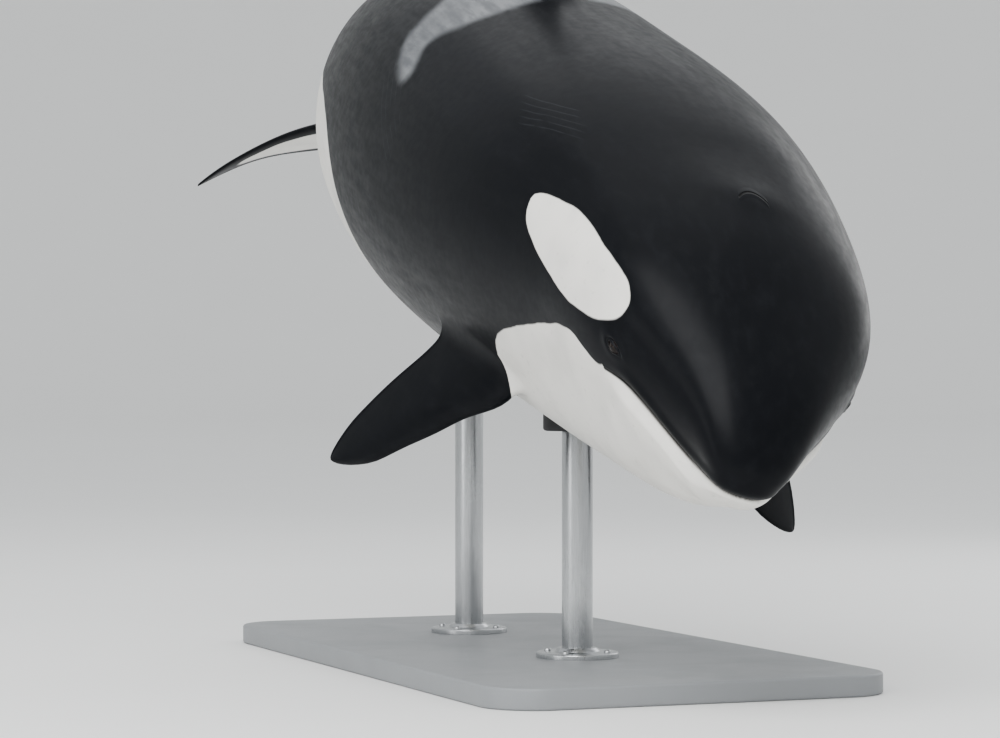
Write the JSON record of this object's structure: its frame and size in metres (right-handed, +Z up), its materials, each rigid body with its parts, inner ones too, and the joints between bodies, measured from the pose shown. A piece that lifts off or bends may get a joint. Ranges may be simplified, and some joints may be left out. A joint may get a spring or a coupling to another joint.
{
  "type": "orca display model",
  "caption": "Life-size orca gliding nose down with its mouth closed, black with white patches, held by two rods on a flat plate.",
  "frame": {"origin": "middle of the base plate's underside", "axes": "+Z up, the snout points to -Y and the tail to +Y, so the animal's right side faces -X"},
  "size_m": [1.8622, 5.0079, 2.7823],
  "materials": {
    "black_skin": "smooth wet-looking skin with fine scars",
    "white_skin": "smooth wet-looking skin with fine scars",
    "eye": "polished",
    "base_plate": "satin powder coat",
    "rod": "brushed along its length",
    "saddle": "matt"
  },
  "bodies": {
    "root": {"head": "black_skin", "lower_jaw": "white_skin", "thorax": "black_skin", "abdomen": "black_skin", "tail_stock": "black_skin", "dorsal_fin": "black_skin", "flipper_right": "black_skin", "flipper_left": "black_skin", "fluke_right": "black_skin", "fluke_left": "black_skin", "eye_right": "eye", "eye_left": "eye", "stand_base": "base_plate", "stand_rod_front": "rod", "stand_flange_front": "rod", "stand_saddle_front": "saddle", "stand_rod_rear": "rod", "stand_flange_rear": "rod", "stand_saddle_rear": "saddle"}
  },
  "joints": []
}
